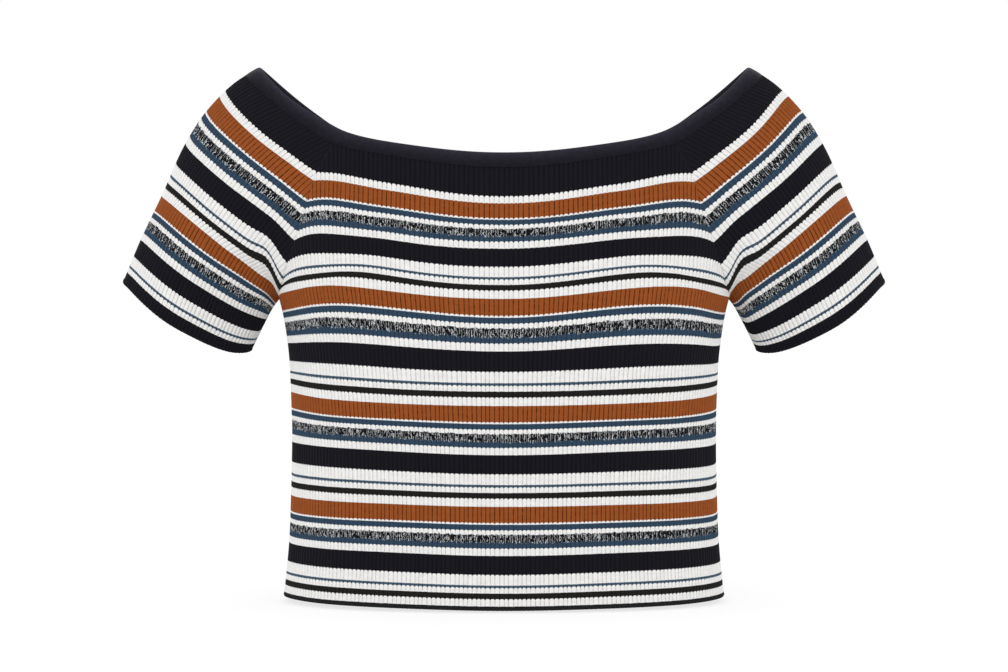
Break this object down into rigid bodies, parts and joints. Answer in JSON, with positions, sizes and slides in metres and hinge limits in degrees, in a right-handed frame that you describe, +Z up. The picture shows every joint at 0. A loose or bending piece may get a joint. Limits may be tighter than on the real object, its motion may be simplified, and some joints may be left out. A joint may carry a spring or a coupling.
{
  "type": "off-the-shoulder sweater",
  "caption": "Fitted off-the-shoulder ribbed knit sweater with short raglan sleeves and cross stripes, filled out as worn.",
  "frame": {"origin": "middle of the neck opening, 20 mm below the points where the neckband crosses the wearer's shoulders", "axes": "+Z up the wearer, -Y out of the front, +X to the wearer's left"},
  "size_m": [0.5476, 0.2069, 0.3824],
  "materials": {
    "striped_rib": "fine rib knit with white, navy, rust, slate blue and flecked stripes, matte",
    "navy_band": "smooth close knit, nearly black navy, matte"
  },
  "bodies": {
    "root": {"front": "striped_rib", "back": "striped_rib", "sleeve_left": "striped_rib", "sleeve_right": "striped_rib", "neckband": "navy_band"}
  },
  "joints": []
}
